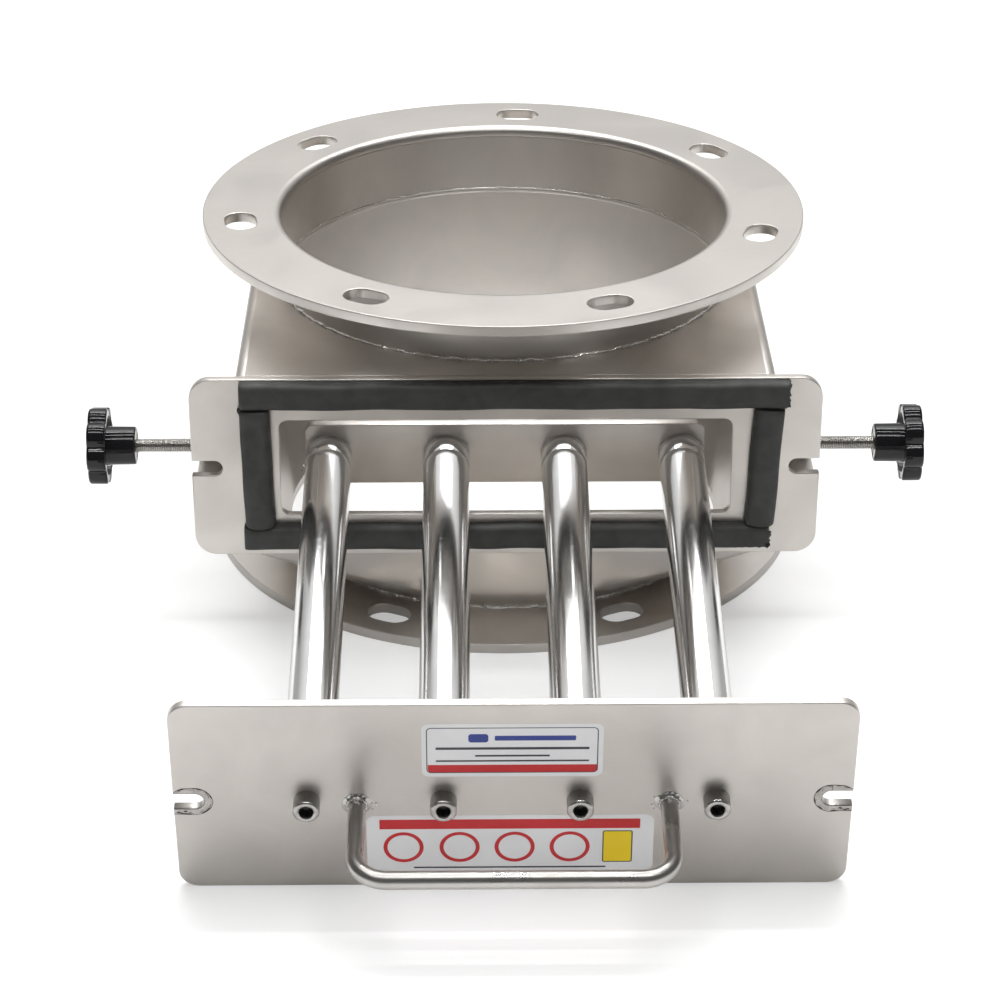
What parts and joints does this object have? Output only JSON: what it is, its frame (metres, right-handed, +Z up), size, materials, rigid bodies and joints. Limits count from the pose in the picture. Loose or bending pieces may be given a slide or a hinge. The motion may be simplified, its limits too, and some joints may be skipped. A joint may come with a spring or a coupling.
{
  "type": "drawer magnet",
  "caption": "Magnet drawer for a round material pipe: a flanged square housing, a drawer of polished magnet bars with a handle, and swing bolts with star knobs that clamp it shut",
  "frame": {"origin": "centre of the outlet flange's underside, on the ground that the flange and the drawer's plate stand on", "axes": "+Z is up along the pipe's axis, from outlet to inlet; the drawer is pulled out towards -Y; +X is to the right for a user who faces the drawer"},
  "size_m": [0.4704, 0.6455, 0.202],
  "materials": {
    "satin_steel": "bead-blasted stainless sheet",
    "polished_steel": "mirror-polished stainless tube",
    "handle_steel": "bright stainless round bar",
    "screw_steel": "stainless fasteners",
    "turned_steel": "turned steel",
    "magnet_alloy": "nickel-plated magnet discs",
    "black_rubber": "soft dark rubber",
    "black_plastic": "glossy black moulded plastic"
  },
  "bodies": {
    "housing": {"top_flange": "satin_steel", "inlet_collar": "satin_steel", "housing_cover": "satin_steel", "rear_wall": "satin_steel", "outlet_transition": "satin_steel", "bottom_flange": "satin_steel", "front_flange": "satin_steel", "gasket_top_strip": "black_rubber", "gasket_bottom_strip": "black_rubber", "gasket_left_strip": "black_rubber", "gasket_right_strip": "black_rubber", "left_upper_lug": "satin_steel", "left_lower_lug": "satin_steel", "right_upper_lug": "satin_steel", "right_lower_lug": "satin_steel", "left_hinge_pin": "screw_steel", "right_hinge_pin": "screw_steel"},
    "drawer": {"drawer_plate": "satin_steel", "drawer_handle": "handle_steel", "tail_plate": "satin_steel", "cap_screws": "screw_steel", "tail_screws": "screw_steel", "bar_1_tube": "polished_steel", "bar_1_front_plug": "turned_steel", "bar_1_magnets": "magnet_alloy", "bar_1_poles": "turned_steel", "bar_1_tail_plug": "polished_steel", "bar_2_tube": "polished_steel", "bar_2_front_plug": "turned_steel", "bar_2_magnets": "magnet_alloy", "bar_2_poles": "turned_steel", "bar_2_tail_plug": "polished_steel", "bar_3_tube": "polished_steel", "bar_3_front_plug": "turned_steel", "bar_3_magnets": "magnet_alloy", "bar_3_poles": "turned_steel", "bar_3_tail_plug": "polished_steel", "bar_4_tube": "polished_steel", "bar_4_front_plug": "turned_steel", "bar_4_magnets": "magnet_alloy", "bar_4_poles": "turned_steel", "bar_4_tail_plug": "polished_steel"},
    "left_bolt": {"left_swing_bolt": "screw_steel"},
    "right_bolt": {"right_swing_bolt": "screw_steel"},
    "left_insert": {"left_knob_insert": "turned_steel"},
    "right_insert": {"right_knob_insert": "turned_steel"},
    "left_knob": {"left_star_knob": "black_plastic"},
    "right_knob": {"right_star_knob": "black_plastic"}
  },
  "joints": [
    {"name": "drawer_closing", "type": "hinge", "parent": "housing", "child": "drawer", "pos_m": [0, 0.07597, -1.59057], "axis": [-1, 0, 0], "range_deg": [0, 8.27]},
    {"name": "left_bolt_swing", "type": "hinge", "parent": "housing", "child": "left_bolt", "pos_m": [-0.1615, -0.1263, 0.108], "axis": [0, 0, 1], "range_deg": [-75, 90]},
    {"name": "left_knob_travel", "type": "slide", "parent": "left_bolt", "child": "left_insert", "axis": [1, 0, 0], "range_m": [-0.0081, 0.0031]},
    {"name": "left_knob_turn", "type": "hinge", "parent": "left_insert", "child": "left_knob", "pos_m": [-0.2115, -0.1263, 0.108], "axis": [1, 0, 0], "range_deg": [-2304, 892]},
    {"name": "right_bolt_swing", "type": "hinge", "parent": "housing", "child": "right_bolt", "pos_m": [0.1615, -0.1263, 0.108], "axis": [0, 0, -1], "range_deg": [-75, 90]},
    {"name": "right_knob_travel", "type": "slide", "parent": "right_bolt", "child": "right_insert", "axis": [-1, 0, 0], "range_m": [-0.0081, 0.0031]},
    {"name": "right_knob_turn", "type": "hinge", "parent": "right_insert", "child": "right_knob", "pos_m": [0.2115, -0.1263, 0.108], "axis": [-1, 0, 0], "range_deg": [-2304, 892]}
  ],
  "couplings": [
    {"joint": "left_knob_travel", "follows": "left_knob_turn", "m_per_rad": 0.00019894},
    {"joint": "right_knob_travel", "follows": "right_knob_turn", "m_per_rad": 0.00019894}
  ]
}
